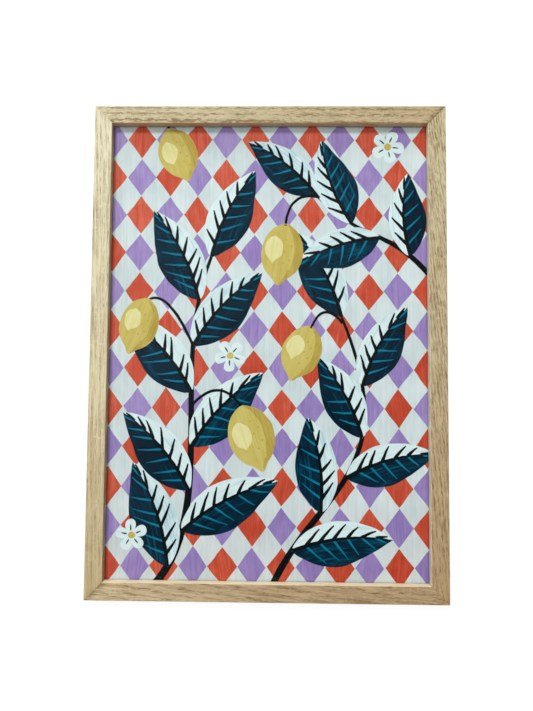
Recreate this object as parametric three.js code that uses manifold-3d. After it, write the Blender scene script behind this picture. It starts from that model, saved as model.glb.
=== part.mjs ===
// A framed picture: an oak frame of four mitred rails, a glazing pane, a picture sheet, a backing
// board held by steel tabs, and a sawtooth hanger on the board.
// Millimetres, +Z up. The frame lies on its back, picture up: the origin is the middle of the back
// plane, +X is the picture's right, +Y its top and +Z the way its front faces.
import * as THREE from "three";
import { mergeVertices } from "three/addons/utils/BufferGeometryUtils.js";
import Module from "manifold-3d";

const wasm = await Module();
wasm.setup();

// Driving dimensions.
const SHEET_WIDTH = 297; // an A3 sheet
const SHEET_HEIGHT = 420;
const RAIL_WIDTH = 16; // of the frame's front face
const LIP_OVERLAP = 7; // how far the rail's front lip reaches over the rebate
const FRAME_DEPTH = 20;
const LIP_DEPTH = 7; // from the front face down to the rebate
const SHEET_PLAY = 1; // between the sheet's edge and the rebate's wall
const STACK_GAP = 0.3; // between pieces that lie on each other
const MITRE_GAP = 0.15; // each rail's share of the open joint line, square to the joint

const FRONT_OUTER_EASE = 1.2; // how far each long edge of a rail is rounded over
const FRONT_INNER_EASE = 1;
const BACK_EASE = 0.8;
const REBATE_EASE = 0.3;

const PANE_THICKNESS = 2;
const PANE_SEAM = 0.25; // the ground-off sharp edge of the pane
const SHEET_THICKNESS = 0.4;
const BOARD_THICKNESS = 2.5;

const TAB_LENGTH = 15;
const TAB_WIDTH = 7;
const TAB_THICKNESS = 0.4;
const TABS_ON_SIDE = 3;
const TABS_ON_END = 2;
const TAB_SPREAD = 0.68; // the share of a rail's length that its tabs spread over

const HANGER_LENGTH = 46;
const HANGER_WIDTH = 9;
const HANGER_THICKNESS = 0.8;
const HANGER_FOOT = 9; // the flat at each end
const HANGER_RAMP = 3;
const HANGER_RISE = 1.6; // how far its middle stands off the board
const HANGER_TEETH = 7;
const TOOTH_DEPTH = 1.8;
const HANGER_BELOW_TOP = 46; // from the frame's top edge to the hanger's middle
const RIVET_RADIUS = 2.1;
const RIVET_HEIGHT = 1;

// Worked out from them.
const LAND = RAIL_WIDTH - LIP_OVERLAP; // wood left behind the rebate
const OUTER_WIDTH = SHEET_WIDTH + 2 * (SHEET_PLAY + LAND);
const OUTER_HEIGHT = SHEET_HEIGHT + 2 * (SHEET_PLAY + LAND);
const REBATE_CEILING = FRAME_DEPTH - LIP_DEPTH;
const PANE_BASE = REBATE_CEILING - STACK_GAP - PANE_THICKNESS;
const SHEET_BASE = PANE_BASE - STACK_GAP - SHEET_THICKNESS;
const BOARD_BASE = SHEET_BASE - STACK_GAP - BOARD_THICKNESS;

const material = (color, roughness, metalness = 0) =>
  new THREE.MeshStandardMaterial({ color, roughness, metalness });

const PALE_OAK = material(0xcdbd96, 0.55);
const WARM_OAK = material(0xb59d75, 0.55);
const GLASS = new THREE.MeshStandardMaterial({
  color: 0xf2f7f5,
  roughness: 0.03,
  metalness: 0,
  transparent: true,
  opacity: 0.25,
});
const PAINTED_PAPER = material(0xcdd6d5, 0.85);
const BOARD = material(0x8a6a45, 0.8);
const STEEL = material(0xb8babc, 0.35, 1);

// A closed outline through corners given as [x, y, how far the corner is rounded over].
function roundedOutline(corners) {
  const shape = new THREE.Shape();
  const points = corners.map(([x, y]) => new THREE.Vector2(x, y));
  corners.forEach(([x, y, ease], i) => {
    const last = points[(i + corners.length - 1) % corners.length];
    const next = points[(i + 1) % corners.length];
    const start = last.clone().sub(points[i]).setLength(ease).add(points[i]);
    const end = next.clone().sub(points[i]).setLength(ease).add(points[i]);
    if (i === 0) shape.moveTo(start.x, start.y);
    else shape.lineTo(start.x, start.y);
    if (ease > 0) shape.quadraticCurveTo(x, y, end.x, end.y);
  });
  shape.closePath();
  return shape;
}

// The rail's section: x runs in from the frame's outer face, y up from its back.
function railSection() {
  return roundedOutline([
    [0, 0, BACK_EASE],
    [LAND, 0, REBATE_EASE],
    [LAND, REBATE_CEILING, 0],
    [RAIL_WIDTH, REBATE_CEILING, REBATE_EASE],
    [RAIL_WIDTH, FRAME_DEPTH, FRONT_INNER_EASE],
    [0, FRAME_DEPTH, FRONT_OUTER_EASE],
  ]);
}

// A rail along Y whose outer face is at x = 0, cut at 45 degrees at both ends.
function mitredRail(length) {
  const rail = new THREE.ExtrudeGeometry(railSection(), {
    depth: length,
    steps: 1,
    curveSegments: 8,
    bevelEnabled: false,
  });
  rail.rotateX(Math.PI / 2);
  rail.translate(0, length / 2, 0);
  const position = rail.getAttribute("position");
  const setback = MITRE_GAP * Math.SQRT2;
  for (let i = 0; i < position.count; i++) {
    const reach = length / 2 - position.getX(i) - setback;
    position.setY(i, Math.sign(position.getY(i)) * reach);
  }
  rail.computeVertexNormals();
  return rail;
}

// A flat plate centred on the Z axis, standing on z = 0, with its edges bevelled.
function plate(width, height, thickness, bevel) {
  const outline = roundedOutline([
    [-width / 2 + bevel, -height / 2 + bevel, 0],
    [width / 2 - bevel, -height / 2 + bevel, 0],
    [width / 2 - bevel, height / 2 - bevel, 0],
    [-width / 2 + bevel, height / 2 - bevel, 0],
  ]);
  const solid = new THREE.ExtrudeGeometry(outline, {
    depth: thickness - 2 * bevel,
    bevelEnabled: bevel > 0,
    bevelThickness: bevel,
    bevelSize: bevel,
    bevelSegments: 1,
  });
  return solid.translate(0, 0, bevel);
}

// A tab that lies along +X from x = 0, with a half-round tip.
function tabPlate() {
  const straight = TAB_LENGTH - TAB_WIDTH / 2;
  const outline = new THREE.Shape();
  outline.moveTo(0, -TAB_WIDTH / 2);
  outline.lineTo(straight, -TAB_WIDTH / 2);
  outline.absarc(straight, 0, TAB_WIDTH / 2, -Math.PI / 2, Math.PI / 2, false);
  outline.lineTo(0, TAB_WIDTH / 2);
  outline.closePath();
  return new THREE.ExtrudeGeometry(outline, {
    depth: TAB_THICKNESS,
    curveSegments: 12,
    bevelEnabled: false,
  });
}

// A solid for cutting, from a closed geometry.
function solidOf(geometry) {
  const bare = geometry.clone();
  bare.deleteAttribute("normal");
  bare.deleteAttribute("uv");
  const merged = mergeVertices(bare, 1e-4);
  const vertProperties = new Float32Array(merged.getAttribute("position").array);
  const triVerts = new Uint32Array(merged.index.array);
  return new wasm.Manifold(new wasm.Mesh({ numProp: 3, vertProperties, triVerts }));
}

function geometryOf(solid) {
  const mesh = solid.getMesh();
  const geometry = new THREE.BufferGeometry();
  geometry.setAttribute("position", new THREE.BufferAttribute(mesh.vertProperties, 3));
  geometry.setIndex(new THREE.BufferAttribute(mesh.triVerts, 1));
  geometry.computeVertexNormals();
  return geometry;
}

// The hanger's strip along X: flat feet against the board and a middle that stands off it.
function hangerStrip() {
  const half = HANGER_LENGTH / 2;
  const rampStart = half - HANGER_FOOT;
  const raised = rampStart - HANGER_RAMP;
  const bends = [
    [-half, 0],
    [-rampStart, 0],
    [-raised, -HANGER_RISE],
    [raised, -HANGER_RISE],
    [rampStart, 0],
    [half, 0],
  ];
  const outline = new THREE.Shape();
  outline.moveTo(...bends[0]);
  bends.slice(1).forEach(([x, z]) => outline.lineTo(x, z));
  bends.toReversed().forEach(([x, z]) => outline.lineTo(x, z + HANGER_THICKNESS));
  outline.closePath();
  const strip = new THREE.ExtrudeGeometry(outline, {
    depth: HANGER_WIDTH,
    bevelEnabled: false,
  });
  strip.rotateX(Math.PI / 2).translate(0, HANGER_WIDTH / 2, 0);
  return solidOf(strip);
}

// A prism that cuts one notch into the strip's lower edge, centred on x.
function toothNotch(x, pitch) {
  const lower = -HANGER_WIDTH / 2;
  const outline = new THREE.Shape();
  outline.moveTo(x - pitch / 2, lower - TOOTH_DEPTH);
  outline.lineTo(x + pitch / 2, lower - TOOTH_DEPTH);
  outline.lineTo(x, lower + TOOTH_DEPTH);
  outline.closePath();
  const prism = new THREE.ExtrudeGeometry(outline, {
    depth: 4 * HANGER_RISE,
    bevelEnabled: false,
  });
  return solidOf(prism.translate(0, 0, -3 * HANGER_RISE));
}

function hangerPlate() {
  const toothed = HANGER_LENGTH - 2 * (HANGER_FOOT + HANGER_RAMP);
  const pitch = toothed / HANGER_TEETH;
  let strip = hangerStrip();
  for (let i = 0; i < HANGER_TEETH; i++) {
    const x = (i + 0.5) * pitch - toothed / 2;
    strip = strip.subtract(toothNotch(x, pitch));
  }
  return geometryOf(strip);
}

// A domed rivet head that hangs down from z = 0.
function rivetHead() {
  const profile = [new THREE.Vector2(0, -RIVET_HEIGHT)];
  const steps = 6;
  for (let i = 1; i <= steps; i++) {
    const angle = (i / steps) * (Math.PI / 2);
    const radius = RIVET_RADIUS * Math.sin(angle);
    profile.push(new THREE.Vector2(radius, -RIVET_HEIGHT * Math.cos(angle)));
  }
  profile.push(new THREE.Vector2(0, 0));
  return new THREE.LatheGeometry(profile, 20).rotateX(Math.PI / 2);
}

function named(name, geometry, finish) {
  const mesh = new THREE.Mesh(geometry, finish);
  mesh.name = name;
  return mesh;
}

// The four sides: each group's +X points from the rail's outer face in towards the picture.
const SIDES = [
  { side: "left", x: -1, y: 0, turn: 0, length: OUTER_HEIGHT, tabs: TABS_ON_SIDE, finish: PALE_OAK },
  { side: "right", x: 1, y: 0, turn: 2, length: OUTER_HEIGHT, tabs: TABS_ON_SIDE, finish: WARM_OAK },
  { side: "bottom", x: 0, y: -1, turn: 1, length: OUTER_WIDTH, tabs: TABS_ON_END, finish: WARM_OAK },
  { side: "top", x: 0, y: 1, turn: -1, length: OUTER_WIDTH, tabs: TABS_ON_END, finish: PALE_OAK },
];

function railWithTabs({ side, x, y, turn, length, tabs, finish }) {
  const group = new THREE.Group();
  group.position.set((x * OUTER_WIDTH) / 2, (y * OUTER_HEIGHT) / 2, 0);
  group.rotation.z = (turn * Math.PI) / 2;
  group.add(named(`rail_${side}`, mitredRail(length), finish));
  for (let i = 0; i < tabs; i++) {
    const tab = named(`tab_${side}_${i + 1}`, tabPlate(), STEEL);
    const along = (i / (tabs - 1) - 0.5) * TAB_SPREAD * length;
    tab.position.set(LAND + STACK_GAP, along, BOARD_BASE - STACK_GAP - TAB_THICKNESS);
    group.add(tab);
  }
  return group;
}

function contents() {
  const group = new THREE.Group();
  const pane = plate(SHEET_WIDTH, SHEET_HEIGHT, PANE_THICKNESS, PANE_SEAM);
  const glazing = named("glazing", pane, GLASS);
  glazing.position.z = PANE_BASE;
  const paper = plate(SHEET_WIDTH, SHEET_HEIGHT, SHEET_THICKNESS, 0);
  const sheet = named("picture_sheet", paper, PAINTED_PAPER);
  sheet.position.z = SHEET_BASE;
  const panel = plate(SHEET_WIDTH, SHEET_HEIGHT, BOARD_THICKNESS, PANE_SEAM);
  const board = named("backing_board", panel, BOARD);
  board.position.z = BOARD_BASE;
  group.add(glazing, sheet, board);
  return group;
}

function hanger() {
  const group = new THREE.Group();
  const foot = BOARD_BASE - STACK_GAP - HANGER_THICKNESS;
  group.position.set(0, OUTER_HEIGHT / 2 - HANGER_BELOW_TOP, foot);
  group.add(named("hanger", hangerPlate(), STEEL));
  [-1, 1].forEach((end, i) => {
    const rivet = named(`hanger_rivet_${i + 1}`, rivetHead(), STEEL);
    rivet.position.set((end * (HANGER_LENGTH - HANGER_FOOT)) / 2, 0, -STACK_GAP);
    group.add(rivet);
  });
  return group;
}

const picture = new THREE.Group();
SIDES.forEach((entry) => picture.add(railWithTabs(entry)));
picture.add(contents(), hanger());

export default picture;
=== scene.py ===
"""Looks of a framed picture that lies on its back: oak rails, glazing, a painted sheet, a plain back."""

import math
import random
from collections import namedtuple

import bpy
from mathutils import Matrix, Vector, noise
from mathutils.geometry import delaunay_2d_cdt


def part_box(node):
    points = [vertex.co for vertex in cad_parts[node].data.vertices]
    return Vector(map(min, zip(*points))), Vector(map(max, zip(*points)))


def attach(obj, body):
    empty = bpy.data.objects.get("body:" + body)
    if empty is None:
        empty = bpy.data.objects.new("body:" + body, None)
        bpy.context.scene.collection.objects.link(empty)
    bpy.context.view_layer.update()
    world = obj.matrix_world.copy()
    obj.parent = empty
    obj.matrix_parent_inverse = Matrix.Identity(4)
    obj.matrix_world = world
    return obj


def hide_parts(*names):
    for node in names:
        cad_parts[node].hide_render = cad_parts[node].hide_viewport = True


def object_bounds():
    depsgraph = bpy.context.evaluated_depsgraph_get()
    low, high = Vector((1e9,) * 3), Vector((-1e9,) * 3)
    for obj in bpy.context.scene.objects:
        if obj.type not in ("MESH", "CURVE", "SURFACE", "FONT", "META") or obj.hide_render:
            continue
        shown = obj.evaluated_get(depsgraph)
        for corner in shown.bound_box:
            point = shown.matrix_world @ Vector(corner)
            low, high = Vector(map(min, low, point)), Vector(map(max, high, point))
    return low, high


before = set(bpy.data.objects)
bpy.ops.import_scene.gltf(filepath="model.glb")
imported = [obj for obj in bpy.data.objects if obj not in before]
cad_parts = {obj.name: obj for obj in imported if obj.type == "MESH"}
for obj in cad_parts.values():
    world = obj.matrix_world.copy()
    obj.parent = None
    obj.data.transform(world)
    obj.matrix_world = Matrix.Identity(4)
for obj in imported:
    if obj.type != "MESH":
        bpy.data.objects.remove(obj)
cad_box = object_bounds()

MM = 0.001

# The camera, in millimetres and degrees, and a 36 mm sensor along the picture's long side.
CAMERA_PLACE = (5.86, -29.98, 491.8)
CAMERA_TARGET = (-1.12, -6.06, 20.0)
CAMERA_ROLL = 0.439
CAMERA_LENS = 27.11
SENSOR = 36.0

# How far the pane lies under the rails' lip and from the rebate's wall.
PANE_GAP = 0.3
PANE_PLAY = 1.0

# The frame's sizes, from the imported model.
OUTER_LOW, OUTER_HIGH = (corner / MM for corner in cad_box)
SHEET_LOW, SHEET_HIGH = (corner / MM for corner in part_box("picture_sheet"))
PANE_LOW, PANE_HIGH = (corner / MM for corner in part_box("glazing"))
RAIL_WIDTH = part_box("rail_left")[1].x / MM - OUTER_LOW.x
FRAME_DEPTH = OUTER_HIGH.z
LIP_UNDER = PANE_HIGH.z + PANE_GAP
REBATE_WALL = PANE_LOW.x - OUTER_LOW.x - PANE_PLAY

# The sheet's gentle cockling, how thick a layer of its paint is and how deep the paint is sunk in it.
BUCKLE_HEIGHT = 0.08
BUCKLE_LENGTH = 90.0
PAINT_LAYER = 0.008
PAINT_SINK = 0.03

# How little the pane and the matt paint reflect.
GLASS_REFRACTION = 1.2
MATT_PAINT = 0.12


def srgb(red, green, blue):
    """A colour given in 0 to 255 as the linear colour a shader takes."""
    shares = (red / 255, green / 255, blue / 255)
    linear = [s / 12.92 if s <= 0.04045 else ((s + 0.055) / 1.055) ** 2.4 for s in shares]
    return (*linear, 1.0)


def mesh_piece(name, corners, faces, finish):
    """A new piece from its corners, in metres, and its faces, with that finish."""
    mesh = bpy.data.meshes.new(name)
    mesh.from_pydata(corners, [], faces)
    piece = bpy.data.objects.new(name, mesh)
    bpy.context.scene.collection.objects.link(piece)
    dress(piece, finish)
    return piece


def dress(piece, finish):
    piece.data.materials.clear()
    piece.data.materials.append(finish)


# ---- materials -------------------------------------------------------------------------------


class Graph:
    """A material's or a world's nodes, with a short call for each kind that is used below."""

    def __init__(self, name, owners=bpy.data.materials):
        self.owner = owners.new(name)
        self.owner.use_nodes = True
        self.tree = self.owner.node_tree
        self.tree.nodes.clear()

    def add(self, kind, inputs, **settings):
        made = self.tree.nodes.new(kind)
        for key, value in settings.items():
            setattr(made, key, value)
        for key, value in inputs.items():
            socket = made.inputs[key]
            if isinstance(value, bpy.types.NodeSocket):
                self.tree.links.new(value, socket)
            else:
                socket.default_value = value
        return made

    def place(self, location=(0, 0, 0), turn=0.0):
        """Object coordinates in millimetres, from a place and turned about Z."""
        coordinates = self.add("ShaderNodeTexCoord", {}).outputs["Object"]
        inputs = {
            "Vector": coordinates,
            "Location": [c * MM for c in location],
            "Rotation": (0, 0, turn),
            "Scale": (MM, MM, MM),
        }
        return self.add("ShaderNodeMapping", inputs, vector_type="TEXTURE").outputs["Vector"]

    def attribute(self, name, output):
        return self.add("ShaderNodeAttribute", {}, attribute_name=name).outputs[output]

    def split(self, vector):
        outputs = self.add("ShaderNodeSeparateXYZ", {"Vector": vector}).outputs
        return outputs["X"], outputs["Y"], outputs["Z"]

    def join(self, x, y, z):
        return self.add("ShaderNodeCombineXYZ", {"X": x, "Y": y, "Z": z}).outputs["Vector"]

    def math(self, operation, *values):
        inputs = dict(enumerate(values))
        return self.add("ShaderNodeMath", inputs, operation=operation).outputs["Value"]

    def sum(self, first, *others):
        for other in others:
            first = self.math("ADD", first, other)
        return first

    def times(self, a, b):
        return self.math("MULTIPLY", a, b)

    def stretch(self, vector, cell, shift=0.0):
        """The vector in cells of that size, so that noise of scale 1 has spots of about a cell."""
        inputs = {0: vector, 1: [1 / c for c in cell], 2: (shift, shift * 1.7, shift * 2.3)}
        return self.add("ShaderNodeVectorMath", inputs, operation="MULTIPLY_ADD").outputs["Vector"]

    def noise(self, vector, detail=2.0, roughness=0.5, distortion=0.0):
        inputs = {
            "Vector": vector,
            "Scale": 1.0,
            "Detail": detail,
            "Roughness": roughness,
            "Distortion": distortion,
        }
        return self.add("ShaderNodeTexNoise", inputs).outputs["Fac"]

    def span(self, value, low, high, to_low=0.0, to_high=1.0, smooth=False):
        inputs = {
            "Value": value,
            "From Min": low,
            "From Max": high,
            "To Min": to_low,
            "To Max": to_high,
        }
        kind = "SMOOTHSTEP" if smooth else "LINEAR"
        return self.add("ShaderNodeMapRange", inputs, interpolation_type=kind).outputs["Result"]

    def mix(self, share, a, b, blend="MIX"):
        made = self.add("ShaderNodeMix", {}, data_type="RGBA", blend_type=blend)
        for index, value in ((0, share), (6, a), (7, b)):
            if isinstance(value, bpy.types.NodeSocket):
                self.tree.links.new(value, made.inputs[index])
            else:
                made.inputs[index].default_value = value
        return made.outputs[2]

    def bump(self, height, depth):
        """A bump whose full height of 1 stands for that depth in millimetres."""
        inputs = {"Height": height, "Strength": 1.0, "Distance": depth * MM}
        return self.add("ShaderNodeBump", inputs).outputs["Normal"]

    def surface(self, shader, output="ShaderNodeOutputMaterial"):
        self.add(output, {"Surface": shader})
        return self.owner

    def principled(self, **inputs):
        named = {key.replace("_", " "): value for key, value in inputs.items()}
        return self.add("ShaderNodeBsdfPrincipled", named).outputs["BSDF"]


# One rail's board: where it lies, and how it was cut from its tree. The pith is the tree's axis,
# given across and above the board. Lean and tilt are how far the grain drifts across and up for
# each millimetre along. Band is the share of a ring that stays pale, sway is how far and in what
# cells the grain wavers, and figure is how dark its rings are. Fade is the strength of all its grain
# at the start and at the end. Stain is how dark the glue has made the wood at its two mitres. Start,
# middle and end are the wood's colours along its face: its own tone, with painted light in it, paler
# towards the top left where the light falls and darker and warmer away from it, and a painted sheen.
# Wall is its colour on the inner wall, painted lighter on the walls that face the lamps and darker on
# those in shade.
Board = namedtuple(
    "Board",
    "side place turn pith lean tilt spacing band sway sway_cell streak figure fade stain start middle "
    "end wall seed",
)

# Their start, middle, end and wall colours carry painted light and shade, as said above.
BOARDS = (
    Board(
        side="left", place=(OUTER_LOW.x, 0, 0), turn=0, pith=(-70, -45), lean=0.014, tilt=0.004,
        spacing=2.6, band=0.16, sway=0.5, sway_cell=(14, 60), streak=34, figure=0.8,
        fade=(0.65, 1.2), stain=(0.2, 0.0),
        start=srgb(204, 184, 140), middle=srgb(229, 218, 182), end=srgb(234, 228, 197),
        wall=srgb(185, 162, 121), seed=1.0,
    ),
    Board(
        side="right", place=(OUTER_HIGH.x, 0, 0), turn=2, pith=(60, -30), lean=0.12, tilt=0.02,
        spacing=2.0, band=0.16, sway=0.9, sway_cell=(9, 26), streak=9, figure=1.15,
        fade=(1.25, 0.85), stain=(0.0, 0.0),
        start=srgb(210, 198, 161), middle=srgb(204, 187, 150), end=srgb(188, 159, 117),
        wall=srgb(250, 240, 210), seed=2.0,
    ),
    Board(
        side="bottom", place=(0, OUTER_LOW.y, 0), turn=1, pith=(38, -50), lean=-0.07, tilt=0.03,
        spacing=2.5, band=0.16, sway=1.6, sway_cell=(10, 50), streak=22, figure=1.0,
        fade=(1.05, 0.95), stain=(0.0, 0.6),
        start=srgb(193, 166, 127), middle=srgb(195, 170, 132), end=srgb(218, 199, 161),
        wall=srgb(255, 240, 200), seed=3.0,
    ),
    Board(
        side="top", place=(0, OUTER_HIGH.y, 0), turn=-1, pith=(30, -34), lean=0.006, tilt=0.006,
        spacing=2.2, band=0.56, sway=0.95, sway_cell=(4, 7), streak=8, figure=2.3,
        fade=(1.15, 1.05), stain=(0.0, 0.65),
        start=srgb(219, 207, 173), middle=srgb(199, 185, 149), end=srgb(197, 178, 139),
        wall=srgb(214, 180, 133), seed=4.0,
    ),
)

# How much darker the darkest grain is than the wood around it, and how far the glue's stain reaches.
GRAIN_TINT = (0.42, 0.34, 0.24, 1.0)
STAIN_REACH = 8.0

# The rails' inner walls: how far short of the rail's width their colour starts and is full, and how
# strong the grain is on them. A painted shade darkens their foot, where the lip meets the glass: it
# starts at the first of these heights over the lip's underside and is full at the second.
WALL_EDGES = (0.5, 0.05)
WALL_GRAIN = 0.35
FOOT_SHADE_HEIGHTS = (1.1, 0.5)
FOOT_SHADE_SHARE = 0.45
FOOT_SHADE_COLOUR = srgb(96, 84, 70)


def growth_rings(graph, board, local):
    """How deep a point is in a ring's dark, porous wood, a random number for the ring, and the
    point's place in the grain, which leans and wavers."""
    across, along, up = graph.split(local)
    sway_size = (board.sway_cell[0], board.sway_cell[1], board.sway_cell[0])
    waver = graph.noise(graph.stretch(local, sway_size, board.seed), 3.0, 0.55)
    sway = graph.times(graph.math("SUBTRACT", waver, 0.5), 4 * board.sway)
    leaning = graph.sum(across, graph.times(along, board.lean), sway)
    rising = graph.sum(up, graph.times(along, board.tilt), sway)
    from_pith = (graph.sum(leaning, -board.pith[0]), graph.sum(rising, -board.pith[1]))
    radius = graph.math("SQRT", graph.sum(*(graph.times(side, side) for side in from_pith)))
    rings = graph.math("DIVIDE", radius, board.spacing)
    early = graph.span(graph.math("PINGPONG", rings, 0.5), board.band / 2, 0.45, smooth=True)
    years = graph.add("ShaderNodeTexWhiteNoise", {"W": graph.math("FLOOR", rings)}, noise_dimensions="1D")
    return early, years.outputs["Value"], graph.join(leaning, along, rising)


def glue_stain(graph, board, local, reach):
    """How much the glue has darkened a point near the rail's two mitres."""
    across, along, _ = graph.split(local)
    from_start = graph.sum(along, graph.times(across, -1.0), reach)
    from_end = graph.sum(graph.times(graph.sum(along, across), -1.0), reach)
    return graph.sum(
        graph.span(from_start, 0.0, STAIN_REACH, board.stain[0], 0.0, smooth=True),
        graph.span(from_end, 0.0, STAIN_REACH, board.stain[1], 0.0, smooth=True),
    )


def bare_wood(graph, board, local, wall, reach):
    """The wood's colour without its grain, with painted light and shade, on the faces and the inner wall.
    """
    _, along, up = graph.split(local)
    # Along the face the colour goes from start to end: the wood's own tone, with painted light fall-off and
    # a painted sheen.
    face = graph.mix(graph.span(along, -reach, 0.0), board.start, board.middle)
    face = graph.mix(graph.span(along, 0.0, reach), face, board.end)
    # A painted shade darkens the wall's foot, and the wall's own colour carries painted light and shade
    # too.
    foot_shade_mask = graph.span(up, *(LIP_UNDER + height for height in FOOT_SHADE_HEIGHTS))
    foot_shade_amount = graph.times(graph.times(wall, foot_shade_mask), FOOT_SHADE_SHARE)
    return graph.mix(foot_shade_amount, graph.mix(wall, face, board.wall), FOOT_SHADE_COLOUR)


def oak(board):
    """Clear-finished oak: growth rings cut by the rail's faces, pores, fibres and slow tone, on a base
    colour with painted light and shade.
    """
    graph = Graph(f"oak_{board.side}")
    local = graph.place(board.place, board.turn * math.pi / 2)
    across, along, _ = graph.split(local)
    reach = OUTER_HIGH.y if board.turn in (0, 2) else OUTER_HIGH.x
    early, year, grain = growth_rings(graph, board, local)
    streaks = graph.noise(graph.stretch(grain, (1.3, board.streak, 1.3), board.seed + 3), 3.0, 0.6)
    fibre = graph.noise(graph.stretch(grain, (0.4, 14, 0.4), board.seed + 5), 3.0, 0.6)
    vessels = graph.noise(graph.stretch(grain, (0.5, 6, 0.5), board.seed + 9), 1.0)
    pores = graph.times(graph.span(vessels, 0.5, 0.64, smooth=True), graph.span(early, 0.0, 1.0, 0.15, 1.0))
    slow = graph.noise(graph.stretch(local, (14, 48, 14), board.seed + 13), 2.0)
    figure = graph.times(early, graph.span(slow, 0.35, 0.6, 0.35, 1.0))
    rays = graph.noise(graph.stretch(local, (7, 2.4, 7), board.seed + 17), 2.0)
    flecks = graph.times(graph.span(rays, 0.56, 0.7), graph.span(slow, 0.5, 0.62))
    stain = glue_stain(graph, board, local, reach)
    darkness = graph.sum(
        graph.times(figure, graph.span(year, 0.0, 1.0, 0.1 * board.figure, 0.45 * board.figure)),
        graph.times(graph.math("SUBTRACT", streaks, 0.46), 2.2),
        graph.times(graph.math("SUBTRACT", fibre, 0.5), 1.5),
        graph.times(graph.math("SUBTRACT", slow, 0.5), 0.8),
        graph.times(pores, 0.6 * board.figure),
        graph.times(flecks, -0.35),
        graph.times(stain, graph.span(streaks, 0.35, 0.65, 0.5, 1.4)),
    )
    wall = graph.span(across, *(RAIL_WIDTH - edge for edge in WALL_EDGES))
    darkness = graph.times(darkness, graph.span(wall, 0.0, 1.0, 1.0, WALL_GRAIN))
    darkness = graph.times(darkness, graph.span(along, -reach, reach, *board.fade))
    wood = bare_wood(graph, board, local, wall, reach)
    dark = graph.mix(1.0, wood, GRAIN_TINT, "MULTIPLY")
    relief = graph.sum(graph.times(pores, -1.0), graph.times(fibre, 0.4))
    shader = graph.principled(
        Base_Color=graph.mix(graph.span(darkness, -0.1, 1.0), wood, dark),
        Roughness=graph.span(fibre, 0.3, 0.7, 0.42, 0.56),
        Normal=graph.bump(relief, 0.06),
    )
    return graph.surface(shader)


def glue_line(name, colour):
    """The thin line of glue and dust in a mitre, a little rough and uneven."""
    graph = Graph(name)
    specks = graph.noise(graph.stretch(graph.place(), (0.7, 0.7, 0.7)), 3.0, 0.6)
    dark = [0.55 * c for c in colour[:3]] + [1.0]
    shader = graph.principled(
        Base_Color=graph.mix(graph.span(specks, 0.35, 0.7), colour, dark),
        Roughness=0.7,
        Normal=graph.bump(specks, 0.04),
    )
    return graph.surface(shader)


def glass():
    """Picture glass with faint smears. Its coating reflects little, hence the low refraction."""
    graph = Graph("picture_glass")
    smears = graph.noise(graph.stretch(graph.place(), (60, 25, 60)), 4.0, 0.6)
    clear = graph.principled(
        Base_Color=srgb(253, 255, 254),
        Roughness=graph.span(smears, 0.4, 0.7, 0.0, 0.02),
        IOR=GLASS_REFRACTION,
        Transmission_Weight=1.0,
    )
    through = graph.add("ShaderNodeBsdfTransparent", {"Color": srgb(253, 255, 254)}).outputs["BSDF"]
    rays = graph.add("ShaderNodeLightPath", {}).outputs
    shader = clear
    for kind in ("Is Diffuse Ray", "Is Shadow Ray"):
        shader = graph.add("ShaderNodeMixShader", {0: rays[kind], 1: shader, 2: through}).outputs[0]
    return graph.surface(shader)


# The white paint gets warmer from one height to the other, towards the picture's foot, by this much.
WARM_HEIGHTS = (-100.0, -170.0)
WARMER = (1.0, 0.955, 0.95, 1.0)


def sheet_paper():
    """Heavy paper under a coat of cool white gouache, laid on in broad strokes."""
    graph = Graph("white_gouache")
    place = graph.place()
    tooth = graph.noise(graph.stretch(place, (0.5, 0.5, 0.5)), 3.0)
    upright = graph.noise(graph.stretch(place, (1.6, 40, 10), 2.0), 4.0, 0.7)
    broad = graph.noise(graph.stretch(place, (22, 30, 10), 5.0), 2.0)
    shade = graph.sum(graph.times(upright, 0.6), graph.times(broad, 0.5))
    colour = graph.mix(graph.span(shade, 0.38, 0.74), srgb(222, 230, 232), srgb(195, 207, 210))
    _, height, _ = graph.split(place)
    colour = graph.mix(graph.span(height, *WARM_HEIGHTS), colour, WARMER, "MULTIPLY")
    relief = graph.sum(graph.times(tooth, 0.5), graph.times(upright, 0.8))
    shader = graph.principled(
        Base_Color=colour,
        Roughness=0.85,
        Specular_IOR_Level=MATT_PAINT,
        Normal=graph.bump(relief, 0.04),
    )
    return graph.surface(shader)


def gouache(name, thin, body, thick, streak=1.0):
    """Hand-brushed paint: bristle streaks along each stroke, uneven cover and faint ridges."""
    graph = Graph(name)
    stroke = graph.attribute("stroke", "Vector")
    tone = graph.attribute("tone", "Fac")
    bristle = graph.noise(graph.stretch(stroke, (40, 1.3, 1)), 4.0, 0.7)
    sweep = graph.noise(graph.stretch(stroke, (26, 3.0, 1), 4.0), 2.0)
    pool = graph.noise(graph.stretch(stroke, (11, 9, 1), 8.0), 2.0)
    cover = graph.sum(
        graph.times(graph.math("SUBTRACT", bristle, 0.5), 1.7 * streak),
        graph.times(graph.math("SUBTRACT", sweep, 0.5), 1.0 * streak),
        graph.times(graph.math("SUBTRACT", pool, 0.5), 0.8),
        tone,
    )
    colour = graph.mix(graph.span(cover, -0.1, 0.5), thin, body)
    colour = graph.mix(graph.span(cover, 0.5, 1.1), colour, thick)
    shader = graph.principled(
        Base_Color=colour,
        Roughness=graph.span(cover, 0.0, 1.0, 0.88, 0.7),
        Specular_IOR_Level=MATT_PAINT,
        Normal=graph.bump(bristle, 0.05),
    )
    return graph.surface(shader)


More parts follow.
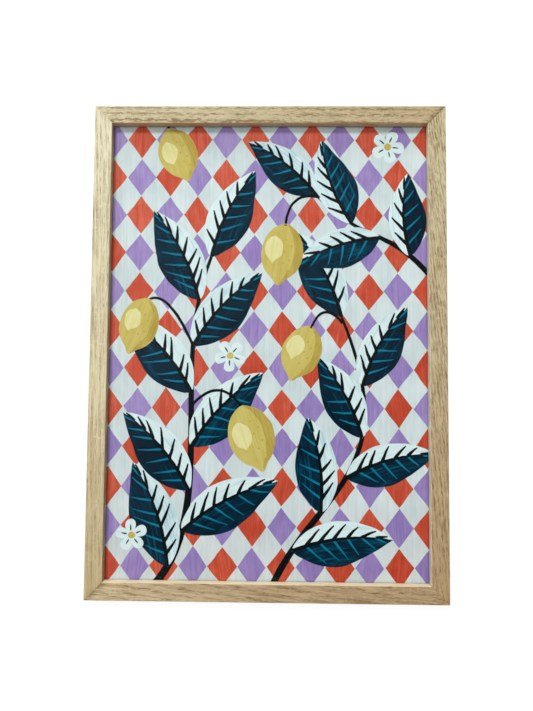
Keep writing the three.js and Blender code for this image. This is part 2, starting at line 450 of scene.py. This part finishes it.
def hardboard():
    """Brown pressed-fibre board, smooth side out, with a fine speckle of fibres."""
    graph = Graph("hardboard")
    place = graph.place()
    speckle = graph.noise(graph.stretch(place, (0.9, 0.9, 0.9)), 4.0, 0.7)
    strands = graph.noise(graph.stretch(place, (3.5, 1.2, 2.0), 3.0), 3.0, 0.6, 0.8)
    cloud = graph.noise(graph.stretch(place, (70, 50, 40), 7.0), 3.0)
    shade = graph.sum(graph.times(speckle, 0.5), graph.times(strands, 0.35), graph.times(cloud, 0.3))
    colour = graph.mix(graph.span(shade, 0.35, 0.85), srgb(116, 82, 52), srgb(160, 124, 86))
    shader = graph.principled(
        Base_Color=colour,
        Roughness=graph.span(cloud, 0.3, 0.7, 0.5, 0.66),
        Normal=graph.bump(speckle, 0.05),
    )
    return graph.surface(shader)


def zinc_plate():
    """Satin zinc-plated steel with a crystalline bloom and fine drawn lines."""
    graph = Graph("zinc_plated_steel")
    place = graph.place()
    drawn = graph.noise(graph.stretch(place, (5.0, 0.12, 0.4)), 2.0)
    bloom = graph.noise(graph.stretch(place, (2.4, 2.4, 2.4), 5.0), 3.0, 0.7, 0.6)
    colour = graph.mix(graph.span(bloom, 0.35, 0.7), srgb(192, 194, 196), srgb(214, 214, 210))
    shader = graph.principled(
        Base_Color=colour,
        Metallic=1.0,
        Roughness=graph.span(bloom, 0.35, 0.7, 0.28, 0.44),
        Normal=graph.bump(drawn, 0.01),
    )
    return graph.surface(shader)


# ---- the mitres ------------------------------------------------------------------------------

# The glue in the gap of each mitre: its corner, how deep it lies under the front face, its colour.
MITRES = (
    (-1, 1, "top_left", 0.05, srgb(226, 214, 180)),
    (1, 1, "top_right", 0.6, srgb(56, 41, 26)),
    (-1, -1, "bottom_left", 0.1, srgb(168, 136, 94)),
    (1, -1, "bottom_right", 0.05, srgb(172, 144, 106)),
)

# The glue's thickness, how far it starts from the frame's corner, and how far it stays inside the
# rails' inner walls and inside their other faces.
GLUE_THICKNESS = 0.28
GLUE_START = 1.0
GLUE_WALL_INSET = 0.1
GLUE_INSET = 0.3


def glue_outline(inset):
    """The glue's outline, as distances in from the frame's corner and heights: the rails' section,
    drawn in a little from its faces."""
    rebate, under = REBATE_WALL - GLUE_INSET, LIP_UNDER + GLUE_INSET
    low, high = GLUE_INSET, FRAME_DEPTH - inset
    near, far = GLUE_START, RAIL_WIDTH - GLUE_WALL_INSET - inset
    return ((near, low), (rebate, low), (rebate, under), (far, under), (far, high), (near, high))


def build_mitres():
    for x_hand, y_hand, corner, inset, colour in MITRES:
        outline = glue_outline(inset)
        tip = Vector((x_hand * OUTER_HIGH.x, y_hand * OUTER_HIGH.y, 0))
        inward = Vector((-x_hand, -y_hand, 0))
        off = Vector((y_hand, -x_hand, 0)).normalized() * (GLUE_THICKNESS / 2)
        rim = [tip + inward * across + Vector((0, 0, z)) for across, z in outline]
        corners = [(point + side) * MM for side in (off, -off) for point in rim]
        count = len(rim)
        faces = [list(range(count)), list(range(2 * count - 1, count - 1, -1))]
        for i in range(count):
            after = (i + 1) % count
            faces.append([after, i, count + i, count + after])
        finish = glue_line(f"mitre_glue_{corner}", colour)
        glue = mesh_piece(f"mitre_{corner}", corners, faces, finish)
        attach(glue, "root")


# ---- the painted design ----------------------------------------------------------------------

# One brushed shape: its outline in millimetres, its layer, the stroke coordinates of a point and
# how thickly it is painted.
Patch = namedtuple("Patch", "outline layer stroke tone")


def heading(angle):
    """The direction at an angle from +X."""
    return Vector((math.cos(angle), math.sin(angle)))


def left_of(way):
    return Vector((-way.y, way.x))


def buckle(x, y):
    """How far the sheet stands off its flat at a point."""
    return BUCKLE_HEIGHT * noise.noise(Vector((x, y, 7.0)) / BUCKLE_LENGTH)


def sheet_surface(x, y):
    return SHEET_HIGH.z + buckle(x, y)


def stepped(points, step, closed=True):
    """The same line with a point at least every step."""
    dense = []
    ends = points[1:] + points[:1] if closed else points[1:]
    for start, end in zip(points, ends):
        count = max(1, math.ceil((end - start).length / step))
        dense += [start.lerp(end, i / count) for i in range(count)]
    return dense if closed else dense + [points[-1]]


def wobbled(points, amount, length, seed):
    """Points moved a little, as a hand paints them."""
    moved = []
    for point in points:
        spot = Vector((point.x / length, point.y / length, seed))
        shift = Vector((noise.noise(spot), noise.noise(spot + Vector((31.0, 17.0, 0.0)))))
        moved.append(point + amount * shift)
    return moved


def clipped(points, low, high):
    """The part of an outline inside the upright rectangle from low to high."""
    for axis, limit, keep in ((0, low.x, 1), (0, high.x, -1), (1, low.y, 1), (1, high.y, -1)):
        kept = []
        for last, point in zip(points[-1:] + points[:-1], points):
            before = keep * (last[axis] - limit)
            now = keep * (point[axis] - limit)
            if (before < 0) != (now < 0):
                kept.append(last.lerp(point, before / (before - now)))
            if now >= 0:
                kept.append(point)
        points = kept
    return points


def inside(point, outline):
    odd = False
    for a, b in zip(outline[-1:] + outline[:-1], outline):
        if (a.y > point.y) != (b.y > point.y):
            if point.x < a.x + (point.y - a.y) * (b.x - a.x) / (b.y - a.y):
                odd = not odd
    return odd


def inner_points(outline, spacing):
    """A grid of points inside an outline, clear of its edge."""
    low_x, high_x = min(p.x for p in outline), max(p.x for p in outline)
    low_y, high_y = min(p.y for p in outline), max(p.y for p in outline)
    found = []
    for column in range(math.ceil(low_x / spacing), math.floor(high_x / spacing) + 1):
        for row in range(math.ceil(low_y / spacing), math.floor(high_y / spacing) + 1):
            point = Vector((column * spacing, row * spacing))
            clear = min((point - edge).length for edge in outline) > spacing / 3
            if clear and inside(point, outline):
                found.append(point)
    return found


def triangles_in(outline, spacing):
    """Points and triangles that fill an outline, anticlockwise seen from above."""
    points = outline + inner_points(outline, spacing)
    corners, _, faces, *_ = delaunay_2d_cdt(points, [], [list(range(len(outline)))], 1, 1e-5)
    return corners, faces


# How far apart two tones' brush marks are taken, so that no two strokes have the same.
TONE_SHIFT = 37.0


class Slabs:
    """Closed thin slabs of paint that follow the sheet, gathered into one mesh."""

    def __init__(self):
        self.corners, self.faces, self.strokes, self.tones = [], [], [], []

    def add(self, patch, spacing=8.0):
        outline = clipped(patch.outline, SHEET_LOW, SHEET_HIGH)
        if len(outline) < 3:
            return
        flat, faces = triangles_in(outline, spacing)
        first, count = len(self.corners), len(flat)
        lift = PAINT_LAYER * patch.layer
        for rise in (lift, -PAINT_SINK):
            for point in flat:
                height = sheet_surface(point.x, point.y) + rise
                self.corners.append((point.x * MM, point.y * MM, height * MM))
                self.strokes.append((*patch.stroke(point), patch.tone * TONE_SHIFT))
                self.tones.append(patch.tone)
        edges = {(a, b) for face in faces for a, b in zip(face, face[1:] + face[:1])}
        for face in faces:
            self.faces.append([first + i for i in face])
            self.faces.append([first + count + i for i in reversed(face)])
        for a, b in edges:
            if (b, a) not in edges:
                self.faces.append([first + b, first + a, first + count + a, first + count + b])

    def piece(self, name, finish):
        made = mesh_piece(name, self.corners, self.faces, finish)
        stroke = made.data.attributes.new("stroke", "FLOAT_VECTOR", "POINT")
        stroke.data.foreach_set("vector", [v for s in self.strokes for v in s])
        tone = made.data.attributes.new("tone", "FLOAT", "POINT")
        tone.data.foreach_set("value", self.tones)
        return made


def straight_stroke(angle):
    """Stroke coordinates for paint brushed in one direction."""
    along = heading(angle)
    return lambda point: (point.dot(along), point.cross(along))


def following_stroke(path):
    """Stroke coordinates for paint brushed along a curved path."""
    lengths = [0.0]
    for a, b in zip(path, path[1:]):
        lengths.append(lengths[-1] + (b - a).length)

    def nearest(point):
        best = None
        for start, end, run in zip(path, path[1:], lengths):
            way = end - start
            share = max(0.0, min(1.0, (point - start).dot(way) / way.length_squared))
            off = point - start.lerp(end, share)
            if best is None or off.length < best[0]:
                side = math.copysign(off.length, way.cross(off))
                best = (off.length, run + share * way.length, side)
        return best[1:]

    return nearest


def bezier(points, share):
    """The point at a share of the way along a Bezier curve."""
    while len(points) > 1:
        points = [a.lerp(b, share) for a, b in zip(points, points[1:])]
    return points[0]


def curve(points, count):
    return [bezier(points, i / count) for i in range(count + 1)]


def normals(path):
    """The direction to the left of a path at each of its points."""
    found = []
    for i in range(len(path)):
        way = path[min(i + 1, len(path) - 1)] - path[max(i - 1, 0)]
        found.append(left_of(way).normalized())
    return found


def brushed_line(path, widths, layer, tone, seed):
    """A brush line along a path, as wide as widths says from its start to its end."""
    sides = normals(path)
    half = [w / 2 for w in widths]
    left = [p + n * h for p, n, h in zip(path, sides, half)]
    right = [p - n * h for p, n, h in zip(path, sides, half)]
    outline = wobbled(right + left[::-1], 0.35, 6.0, seed)
    return Patch(outline, layer, following_stroke(path), tone)


def tapered(count, width, tip=0.2):
    """Widths along a brush line that starts wide and thins to its tip."""
    return [width * (1 - (1 - tip) * (i / count) ** 1.4) for i in range(count + 1)]


# The ground: a harlequin of diamonds, every second row left white. Each stops a little short of its
# neighbours, and their paint gets darker from the top left to the bottom right.
DIAMOND_WIDTH = 26.0
DIAMOND_HEIGHT = 35.0
DIAMOND_GAP = (0.2, 0.3)
GROUND_DRIFT = 0.15


def diamond(middle, rng):
    half_width, half_height = DIAMOND_WIDTH / 2 - DIAMOND_GAP[0], DIAMOND_HEIGHT / 2 - DIAMOND_GAP[1]
    tips = [
        middle + Vector((half_width, 0)),
        middle + Vector((0, half_height)),
        middle - Vector((half_width, 0)),
        middle - Vector((0, half_height)),
    ]
    tips = [t + Vector((rng.uniform(-0.5, 0.5), rng.uniform(-0.6, 0.6))) for t in tips]
    outline = wobbled(stepped(tips, 2.0), 0.7, 12.0, rng.uniform(0, 90))
    lean = math.pi / 2 + rng.uniform(-0.15, 0.15)
    drift = GROUND_DRIFT * (middle.x / SHEET_HIGH.x - middle.y / SHEET_HIGH.y)
    return Patch(outline, 1, straight_stroke(lean), rng.uniform(0.35, 0.65) + drift)


def paint_ground(lilac, red, rng):
    rows = math.ceil(SHEET_HIGH.y / DIAMOND_HEIGHT * 2) + 1
    columns = math.ceil(SHEET_HIGH.x / DIAMOND_WIDTH) + 1
    for row in range(-rows, rows + 1):
        if row % 2 == 0:
            continue
        for column in range(-columns, columns + 1):
            middle = Vector(((column + 0.5) * DIAMOND_WIDTH, row * DIAMOND_HEIGHT / 2))
            colour = lilac if (column + row // 2) % 2 else red
            colour.add(diamond(middle, rng))


Paints = namedtuple("Paints", "lilac red navy teal ice black yellow ochre cream")


# A leaf's width and bend as shares of its length, the powers that set its broadest place and how full
# its ends are, and how much of its width is the dark half's.
LEAF_WIDTH = 0.44
LEAF_BEND = 0.13
LEAF_BROADEST = 0.82
LEAF_FULLNESS = 0.85
DARK_SHARE = 0.6

# The widths of a leaf's midrib and of its black and teal veins, and how far apart its veins are.
RIB_WIDTH = 3.4
VEIN_WIDTHS = (3.2, 2.0)
VEIN_SPACING = 14


def leaf(paints, base, angle, length, hand, layer, rng):
    """A two-tone leaf: a dark half and a pale half that meet at a brushed midrib, with veins."""
    way = heading(angle)
    knee = base + way * (0.5 * length) - left_of(way) * (hand * LEAF_BEND * length)
    count = 36
    rib = curve([base, knee, base + way * length], count)
    outward = [hand * n for n in normals(rib)]
    wide = [
        LEAF_WIDTH * length * math.sin(math.pi * (i / count) ** LEAF_BROADEST) ** LEAF_FULLNESS
        for i in range(count + 1)
    ]
    dark_edge = [p + n * w * DARK_SHARE for p, n, w in zip(rib, outward, wide)]
    pale_edge = [p - n * w * (1 - DARK_SHARE) for p, n, w in zip(rib, outward, wide)]
    stroke = following_stroke(rib[::3])
    seed = rng.uniform(0, 90)
    halves = ((paints.ice, pale_edge, layer, 0.5), (paints.navy, dark_edge, layer + 1, 0.65))
    for paint, edge, level, tone in halves:
        half = wobbled(rib + edge[-2:0:-1], 0.9, 14.0, seed)
        paint.add(Patch(half, level, stroke, tone + rng.uniform(-0.15, 0.15)))
    leaf_veins(paints, rib, (pale_edge, dark_edge), layer + 2, rng)
    paints.black.add(brushed_line(rib[:-2], tapered(count - 2, RIB_WIDTH), layer + 3, 0.5, seed))


def leaf_veins(paints, rib, edges, layer, rng):
    """Veins from the midrib: black on the pale half and teal on the dark one."""
    last = len(rib) - 1
    veins = max(4, round((rib[-1] - rib[0]).length / VEIN_SPACING))
    for i in range(veins):
        place = round((i + 0.9) / (veins + 1.1) * last)
        ahead = min(place + rng.randint(4, 6), last - 1)
        for paint, edge, width in zip((paints.black, paints.teal), edges, VEIN_WIDTHS):
            end = rib[ahead].lerp(edge[ahead], rng.uniform(0.72, 0.88))
            middle = rib[place].lerp(end, 0.5) + (edge[place] - rib[place]) * 0.06
            vein = curve([rib[place], middle, end], 8)
            paint.add(brushed_line(vein, tapered(8, width, 0.35), layer, 0.5, rng.uniform(0, 90)))


# A lemon's width as a share of its length, and the side of a lemon that the light falls on. The shade
# starts at these shares of the rim along and across, and the light is a small copy of the rim, moved
# back and aside by shares of the lemon's size.
LEMON_WIDTH = 0.76
LIT_SIDE = Vector((-1, 1))
SHADE_START = (0.95, 0.58)
LIGHT_SIZE = 0.42
LIGHT_BACK = 0.12
LIGHT_ASIDE = 0.3


def lemon_rim(size, turn):
    """How far along and across its middle a lemon's rim is, at a turn from its nipple."""
    from_tip = min(turn, 2 * math.pi - turn)
    bulge = 1 + 0.22 * math.exp(-((from_tip / 0.24) ** 2))
    bulge += 0.08 * math.exp(-(((from_tip - math.pi) / 0.25) ** 2))
    return size * bulge * math.cos(turn), LEMON_WIDTH * size * math.sin(turn)


def paint_lemon(paints, lemon, layer, rng):
    """A lemon on its stalk, with a nipple, a shaded side, a pale light and a few pores."""
    middle, size = Vector(lemon.middle), lemon.size
    way = heading(lemon.angle)
    side = left_of(way)
    if side.dot(LIT_SIDE) < 0:
        side = -side
    count = 64
    rim = [lemon_rim(size, 2 * math.pi * i / count) for i in range(count)]
    body = [middle + way * along + side * across for along, across in rim]
    dark_rim = rim[count // 2 + 1 :]
    hollow = [
        middle + way * SHADE_START[0] * along + side * SHADE_START[1] * across
        for along, across in dark_rim
    ]
    shade = body[count // 2 + 1 :] + hollow[::-1]
    lit = middle + side * LIGHT_ASIDE * size - way * LIGHT_BACK * size
    light = [lit + (p - middle) * LIGHT_SIZE for p in body]
    stroke, seed = straight_stroke(lemon.angle), rng.uniform(0, 90)
    stalk = curve([Vector(p) for p in lemon.stalk] + [middle - way * size], 16)
    paints.black.add(brushed_line(stalk, tapered(16, 2.6, 0.8), layer, 0.5, seed))
    paints.yellow.add(Patch(wobbled(body, 1.0, 16.0, seed), layer, stroke, rng.uniform(0.4, 0.6)))
    paints.ochre.add(Patch(wobbled(shade, 1.0, 9.0, seed + 2), layer + 1, stroke, 0.5))
    paints.cream.add(Patch(wobbled(light, 1.2, 8.0, seed + 4), layer + 1, stroke, 0.5))
    for i in range(6):
        along, across = 0.22 * i - 0.5, 0.1 + 0.2 * (i % 2)
        spot = middle + (way * along - side * across + way * rng.uniform(-0.05, 0.05)) * size
        dash = [spot, spot + way * 0.9, spot + way * 1.8]
        paints.ochre.add(brushed_line(dash, [1.1, 1.6, 0.9], layer + 2, 0.5, seed + i))


# A blossom's petals and the sizes of its petals and its eye, as shares of the blossom's size.
PETALS = 5
PETAL_WIDTH = 0.34
PETAL_MIDDLE = 0.56
PETAL_REACH = 0.46
EYE_SIZE = 0.22


def blossom(paints, middle, size, layer, rng):
    """Pale petals round a yellow eye."""
    start = rng.uniform(0, 2)
    for i in range(PETALS):
        angle = start + i * 2 * math.pi / PETALS
        way = heading(angle)
        side = left_of(way)
        petal = []
        for k in range(20):
            turn = 2 * math.pi * k / 20
            wide = PETAL_WIDTH * size * (1 + 0.3 * math.cos(turn))
            reach = size * (PETAL_MIDDLE + PETAL_REACH * math.cos(turn))
            petal.append(middle + way * reach + side * wide * math.sin(turn))
        petal = wobbled(petal, 0.7, 7.0, start + i)
        paints.ice.add(Patch(petal, layer + i % 2, straight_stroke(angle), 0.75))
        rib = [middle + way * size * (0.3 + 0.12 * k) for k in range(4)]
        paints.black.add(brushed_line(rib, [0.8, 1.3, 1.1, 0.5], layer + 2, 0.5, start + i + 20))
    eye = [middle + EYE_SIZE * size * heading(k * math.pi / 8) for k in range(16)]
    paints.yellow.add(Patch(wobbled(eye, 0.5, 5.0, start), layer + 3, straight_stroke(start), 0.6))


# A twig: its curve's points, its width at the start, how many leaves it has, which side its first
# leaf is on, and the lengths of its first and last leaf.
Twig = namedtuple("Twig", "points width leaves hand lengths")

TWIGS = (
    Twig(((-104, -214), (-38, -150), (-92, -20), (-52, 84)), 7.0, 8, 1, (98, 88)),
    Twig(((6, -207), (46, -122), (124, -110), (66, 30)), 6.0, 6, -1, (90, 84)),
    Twig(((150, 62), (112, 112), (86, 96), (44, 140)), 5.0, 4, -1, (74, 84)),
)

# A lemon: its middle, the way its nipple points, half its length, and where its stalk comes from.
Lemon = namedtuple("Lemon", "middle angle size stalk")

LEMONS = (
    Lemon((-14, -78), -1.25, 27, ((-69, -52), (-44, -22))),
    Lemon((12, 88), -1.7, 25, ((46, 139), (18, 146))),
    Lemon((-117, 22), -1.9, 23, ((-68, 4), (-92, 56))),
    Lemon((-84, 180), -1.2, 23, ((-100, 226), (-94, 212))),
    Lemon((30, -2), -1.95, 23, ((67, 24), (50, 46))),
)

# A blossom's middle and its size.
BLOSSOMS = ((-34, -6, 14), (108, 186, 15), (-120, -166, 14))

# Each twig's paint lies over the last one's, in this many layers.
TWIG_LAYERS = 5
DESIGN_SEED = 11

# How far, in radians, a twig's lowest leaf stands off it, how much less its topmost would, and how far
# the leaf at its tip does.
LEAF_SPREAD = 0.9
SPREAD_LOSS = 0.28
TIP_SPREAD = 0.12


def paint_twig(paints, twig, layer, rng):
    count = 40
    path = curve([Vector(p) for p in twig.points], count)
    widths = tapered(count, twig.width, 0.4)
    paints.black.add(brushed_line(path, widths, layer, 0.5, layer))
    first, last = twig.lengths
    for i in range(twig.leaves):
        share = (i + 0.75) / (twig.leaves - 0.25)
        place = round(share * count)
        way = (path[min(place + 1, count)] - path[place - 1]).normalized()
        hand = twig.hand * (1 if i % 2 == 0 else -1)
        spread = TIP_SPREAD if i == twig.leaves - 1 else LEAF_SPREAD - SPREAD_LOSS * share
        angle = math.atan2(way.y, way.x) + hand * spread
        length = (first + (last - first) * share) * rng.uniform(0.95, 1.05)
        leaf(paints, path[place], angle, length, hand, layer + 1, rng)


def paint_design():
    """The whole design, as one gathered mesh for each paint."""
    paints = Paints(*(Slabs() for _ in Paints._fields))
    rng = random.Random(DESIGN_SEED)
    paint_ground(paints.lilac, paints.red, rng)
    for index, twig in enumerate(TWIGS):
        paint_twig(paints, twig, 2 + TWIG_LAYERS * index, rng)
    top_layer = 2 + TWIG_LAYERS * len(TWIGS)
    for lemon in LEMONS:
        paint_lemon(paints, lemon, top_layer, rng)
    for x, y, size in BLOSSOMS:
        blossom(paints, Vector((x, y)), size, top_layer, rng)
    return paints


def paint_finishes():
    return Paints(
        lilac=gouache("lilac_paint", srgb(172, 151, 201), srgb(155, 131, 190), srgb(138, 114, 176)),
        red=gouache("red_paint", srgb(216, 106, 84), srgb(200, 80, 58), srgb(180, 60, 38)),
        navy=gouache("navy_paint", srgb(4, 84, 112), srgb(6, 38, 56), srgb(3, 22, 36), 1.4),
        teal=gouache("teal_paint", srgb(30, 140, 168), srgb(0, 104, 134), srgb(0, 80, 106)),
        ice=gouache("ice_paint", srgb(168, 200, 214), srgb(216, 232, 235), srgb(228, 240, 241)),
        black=gouache("black_paint", srgb(24, 34, 36), srgb(10, 16, 18), srgb(6, 10, 12), 0.7),
        yellow=gouache("yellow_paint", srgb(212, 196, 124), srgb(204, 184, 100), srgb(190, 167, 80)),
        ochre=gouache("ochre_paint", srgb(200, 176, 94), srgb(186, 160, 76), srgb(168, 141, 60)),
        cream=gouache("cream_paint", srgb(222, 208, 134), srgb(228, 218, 156), srgb(234, 226, 176)),
    )


def picture_paper():
    """The sheet, gently cockled, as a closed slab with a fine grid of faces."""
    low, high = SHEET_LOW, SHEET_HIGH
    columns, rows = 60, 84
    corners, faces = [], []
    for under in (False, True):
        for j in range(rows + 1):
            for i in range(columns + 1):
                x = low.x + (high.x - low.x) * i / columns
                y = low.y + (high.y - low.y) * j / rows
                z = (low.z if under else high.z) + buckle(x, y)
                corners.append((x * MM, y * MM, z * MM))
    across, layer = columns + 1, (columns + 1) * (rows + 1)
    for j in range(rows):
        for i in range(columns):
            a = j * across + i
            quad = [a, a + 1, a + 1 + across, a + across]
            faces.append(quad)
            faces.append([layer + k for k in reversed(quad)])
    rim = list(range(across)) + [j * across + columns for j in range(1, rows + 1)]
    rim += [rows * across + i for i in range(columns - 1, -1, -1)]
    rim += [j * across for j in range(rows - 1, 0, -1)]
    for a, b in zip(rim, rim[1:] + rim[:1]):
        faces.append([b, a, layer + a, layer + b])
    return mesh_piece("picture_paper", corners, faces, sheet_paper())


def build_picture():
    pieces = [picture_paper()]
    design, finishes = paint_design(), paint_finishes()
    for name, slabs, finish in zip(Paints._fields, design, finishes):
        pieces.append(slabs.piece(f"paint_{name}", finish))
    for piece in pieces:
        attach(piece, "root")
        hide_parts("picture_sheet")


# ---- finishes of the carried-over nodes -------------------------------------------------------


def dress_nodes():
    for board in BOARDS:
        dress(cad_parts[f"rail_{board.side}"], oak(board))
    dress(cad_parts["glazing"], glass())
    dress(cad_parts["backing_board"], hardboard())
    steel = zinc_plate()
    for name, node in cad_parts.items():
        if name.startswith(("tab_", "hanger")):
            dress(node, steel)


# ---- the stage -------------------------------------------------------------------------------


def make_camera():
    place, target = Vector(CAMERA_PLACE), Vector(CAMERA_TARGET)
    back = (place - target).normalized()
    right = Vector((0, 1, 0)).cross(back).normalized()
    up = back.cross(right)
    roll = math.radians(CAMERA_ROLL)
    turned_right = right * math.cos(roll) + up * math.sin(roll)
    turned_up = up * math.cos(roll) - right * math.sin(roll)
    data = bpy.data.cameras.new("camera")
    data.lens = CAMERA_LENS
    data.sensor_width = SENSOR
    data.clip_start, data.clip_end = 0.01, 50
    camera = bpy.data.objects.new("camera", data)
    camera.matrix_world = Matrix.Translation(place * MM) @ Matrix(
        (turned_right, turned_up, back)
    ).transposed().to_4x4()
    bpy.context.scene.collection.objects.link(camera)
    bpy.context.scene.camera = camera


def soft_light(name, azimuth, elevation, distance, size, share, in_gloss=True):
    """An area light that gives the picture's plane a share of its light. Azimuth is degrees from +Y
    towards -X, and size is its width and height in metres."""
    data = bpy.data.lights.new(name, "AREA")
    data.shape = "RECTANGLE"
    data.size, data.size_y = size
    turn, lift = math.radians(azimuth), math.radians(elevation)
    way = Vector((-math.sin(turn) * math.cos(lift), math.cos(turn) * math.cos(lift), math.sin(lift)))
    data.energy = share * math.pi**2 * distance**2 / way.z
    light = bpy.data.objects.new(name, data)
    light.location = way * distance
    light.rotation_mode = "QUATERNION"
    light.rotation_quaternion = way.to_track_quat("Z", "Y")
    light.visible_glossy = in_gloss
    light.visible_transmission = in_gloss
    bpy.context.scene.collection.objects.link(light)


# The ceiling that the glass mirrors: the way to its dark middle, the cosines of how far from there it
# starts to brighten and is brightest, and that brightness. From the left to the right, between these
# two values of a way's X, it goes from the first of these shares to the second.
DARK_CEILING = (0.008, -0.227, 0.974)
CEILING_EDGES = (0.9986, 0.93)
CEILING_GLOW = 0.45
CEILING_ACROSS = (-0.3, 0.3)
CEILING_SHARES = (1.6, 0.4)
WHITE = (1.0, 1.0, 1.0, 1.0)

# The room's own light, the floor's tone and glow, and the wall behind, as pale as the far floor.
ROOM_LIGHT = 0.15
FLOOR_SIZE = 60.0
FLOOR_TONE = 0.25
FLOOR_GLOW = 0.84
FAR_WALL = FLOOR_GLOW + FLOOR_TONE * ROOM_LIGHT


def make_lights():
    soft_light("key", 23, 55, 2.6, (0.58, 0.52), 0.4, in_gloss=False)
    soft_light("overhead", 0, 88, 1.8, (0.7, 0.7), 0.32, in_gloss=False)
    soft_light("low_north", 5, 18, 2.2, (2.2, 0.7), 0.14, in_gloss=False)
    soft_light("south_fill", 175, 35, 2.2, (1.6, 0.9), 0.045)


def make_world():
    """A pale room, dimmer as a light. The glass mirrors a ceiling that is dark over the picture's
    foot and brightens away from there, towards the left most of all."""
    graph = Graph("studio", bpy.data.worlds)
    way = graph.add("ShaderNodeTexCoord", {}).outputs["Generated"]
    inputs = {0: way, 1: DARK_CEILING}
    overhead = graph.add("ShaderNodeVectorMath", inputs, operation="DOT_PRODUCT").outputs["Value"]
    ceiling = graph.span(overhead, *CEILING_EDGES, 0.0, CEILING_GLOW, smooth=True)
    to_right, _, _ = graph.split(way)
    mirrored = graph.times(ceiling, graph.span(to_right, *CEILING_ACROSS, *CEILING_SHARES))
    shader = graph.add("ShaderNodeBackground", {"Color": WHITE, "Strength": ROOM_LIGHT}).outputs[0]
    rays = graph.add("ShaderNodeLightPath", {}).outputs
    for kind, strength in (("Is Glossy Ray", mirrored), ("Is Camera Ray", FAR_WALL)):
        seen = graph.add("ShaderNodeBackground", {"Color": WHITE, "Strength": strength}).outputs[0]
        shader = graph.add("ShaderNodeMixShader", {0: rays[kind], 1: shader, 2: seen}).outputs[0]
    bpy.context.scene.world = graph.surface(shader, "ShaderNodeOutputWorld")


def make_floor():
    half = FLOOR_SIZE / 2
    corners = [(-half, -half, 0), (half, -half, 0), (half, half, 0), (-half, half, 0)]
    graph = Graph("pale_floor")
    shader = graph.principled(
        Base_Color=(FLOOR_TONE, FLOOR_TONE, FLOOR_TONE, 1.0),
        Roughness=0.9,
        Emission_Color=WHITE,
        Emission_Strength=FLOOR_GLOW,
    )
    mesh_piece("floor", corners, [(0, 1, 2, 3)], graph.surface(shader))


bpy.context.scene.view_settings.view_transform = "Standard"
make_camera()
make_lights()
make_world()
make_floor()
dress_nodes()
build_mitres()
build_picture()
